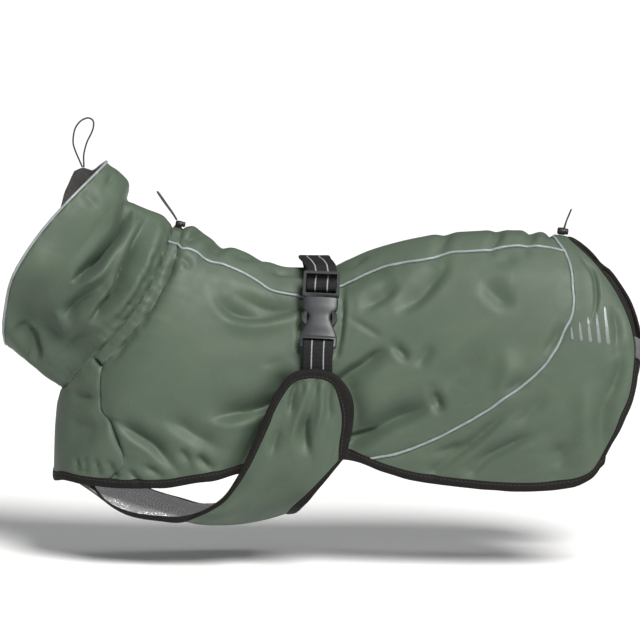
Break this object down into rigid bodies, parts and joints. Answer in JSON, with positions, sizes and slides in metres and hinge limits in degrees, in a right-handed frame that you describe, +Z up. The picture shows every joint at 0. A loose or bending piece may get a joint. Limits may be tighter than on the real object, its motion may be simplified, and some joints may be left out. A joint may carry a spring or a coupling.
{
  "type": "dog winter coat",
  "caption": "Dog winter coat with a funnel collar, belly panel, reflective piping, black bindings and a girth strap with a side-release buckle, filled out as if worn",
  "frame": {"origin": "inner face of the back under the girth strap, where the wearer's back carries the coat", "axes": "+X to the tail, -Y to the side with the buckle, +Z up"},
  "size_m": [0.517, 0.1446, 0.3251],
  "materials": {
    "back_panel": "satin",
    "side_panel_left": "satin",
    "side_panel_right": "satin",
    "chest_panel": "satin",
    "rump_panel": "satin",
    "neck_casing": "satin",
    "collar": "satin",
    "belly_panel": "satin",
    "hem_binding": "matte",
    "rear_binding": "matte",
    "belly_binding": "matte",
    "back_piping_left": "satin",
    "back_piping_right": "satin",
    "rump_piping": "satin",
    "collar_piping": "satin",
    "collar_lining": "matte",
    "belly_lining": "metallic sheen",
    "girth_strap": "matte",
    "buckle_strap": "matte",
    "collar_cord": "matte",
    "neck_cord": "matte",
    "tail_cord": "matte",
    "buckle_socket": "gloss",
    "buckle_plug": "gloss",
    "neck_cord_lock": "matte",
    "tail_cord_lock": "matte",
    "rear_tab": "matte"
  },
  "bodies": {
    "root": {"back_panel": "back_panel", "side_panel_left": "side_panel_left", "side_panel_right": "side_panel_right", "chest_panel": "chest_panel", "rump_panel": "rump_panel", "neck_casing": "neck_casing", "collar": "collar", "belly_panel": "belly_panel", "hem_binding": "hem_binding", "rear_binding": "rear_binding", "belly_binding": "belly_binding", "back_piping_left": "back_piping_left", "back_piping_right": "back_piping_right", "rump_piping": "rump_piping", "collar_piping": "collar_piping", "collar_lining": "collar_lining", "belly_lining": "belly_lining", "girth_strap": "girth_strap", "buckle_strap": "buckle_strap", "collar_cord": "collar_cord", "neck_cord": "neck_cord", "tail_cord": "tail_cord", "buckle_socket": "buckle_socket", "buckle_plug": "buckle_plug", "neck_cord_lock": "neck_cord_lock", "tail_cord_lock": "tail_cord_lock", "rear_tab": "rear_tab"}
  },
  "joints": []
}
